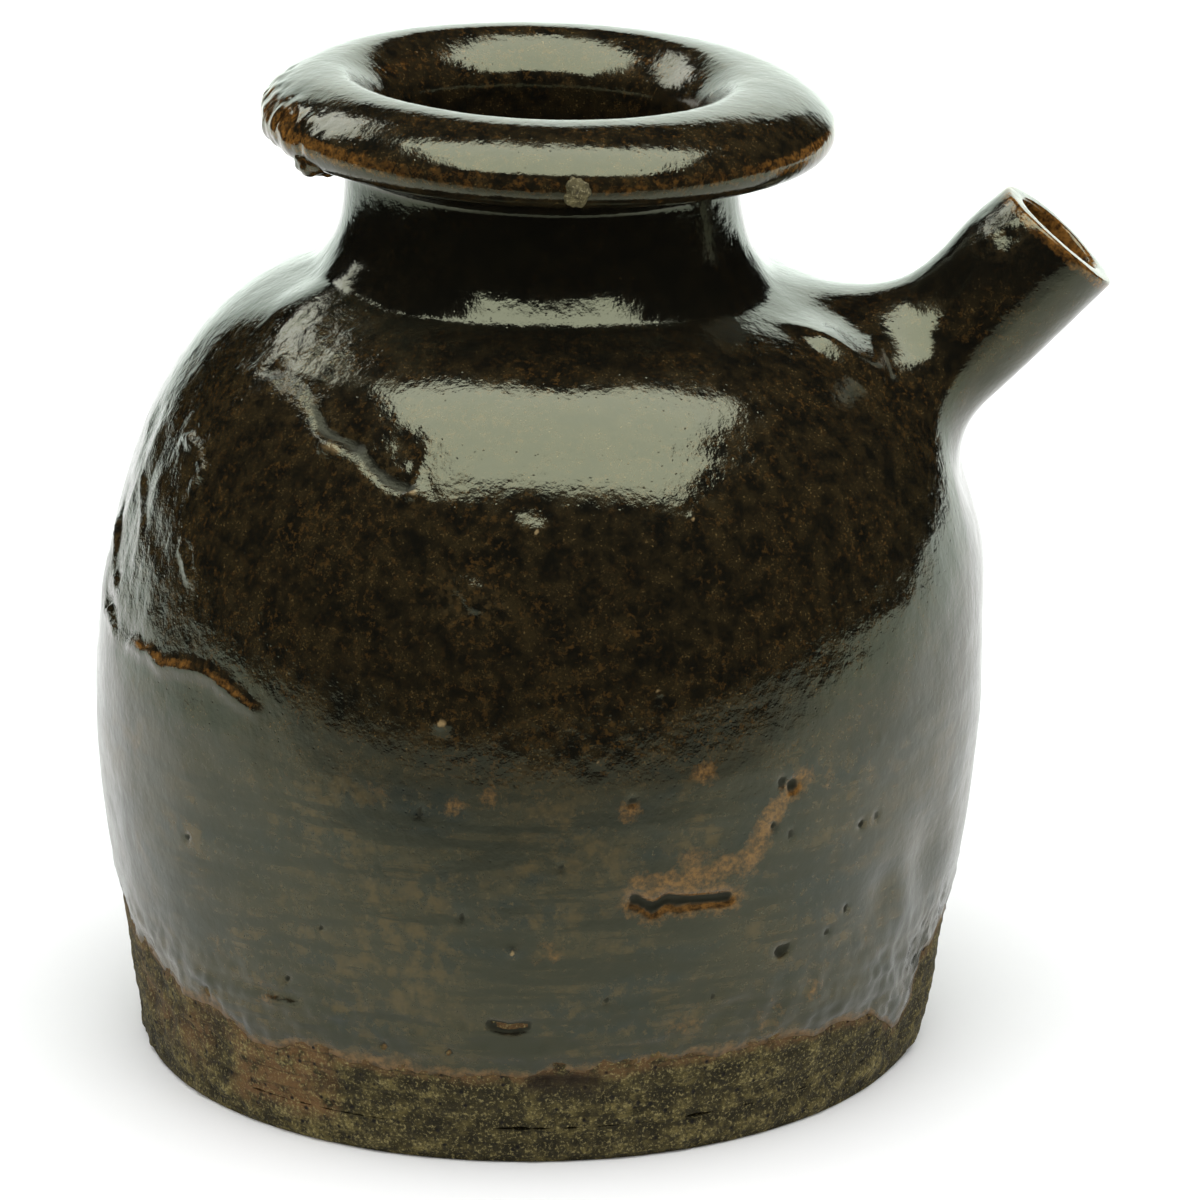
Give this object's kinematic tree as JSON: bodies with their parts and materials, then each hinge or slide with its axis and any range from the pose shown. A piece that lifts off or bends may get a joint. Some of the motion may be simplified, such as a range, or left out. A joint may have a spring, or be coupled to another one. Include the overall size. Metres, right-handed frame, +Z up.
{
  "type": "spouted stoneware bottle",
  "caption": "Squat brown-glazed stoneware pouring bottle: flat bare foot, broad body, short neck with a rolled mushroom lip, and a short tube spout on the shoulder.",
  "frame": {"origin": "centre of the flat foot, on the table", "axes": "+Z up through the mouth, +X towards the spout"},
  "size_m": [0.1317, 0.1164, 0.1282],
  "materials": {
    "bare_clay": "rough unglazed olive-khaki stoneware with turning lines",
    "body_clay": "fired stoneware under the glaze",
    "brown_glaze": "glossy near-black brown with amber and red-brown specks",
    "lining_glaze": "thin glossy amber-brown lining",
    "kiln_grit": "rough fused sand and ash"
  },
  "bodies": {
    "root": {"base_slab": "bare_clay", "lower_wall": "bare_clay", "shoulder_dome": "body_clay", "neck_collar": "body_clay", "lip_ring": "body_clay", "spout_tube": "body_clay", "spout_luting": "body_clay", "outer_glaze": "brown_glaze", "inner_glaze": "lining_glaze", "lip_drip": "brown_glaze", "lip_grit": "kiln_grit"}
  },
  "joints": []
}
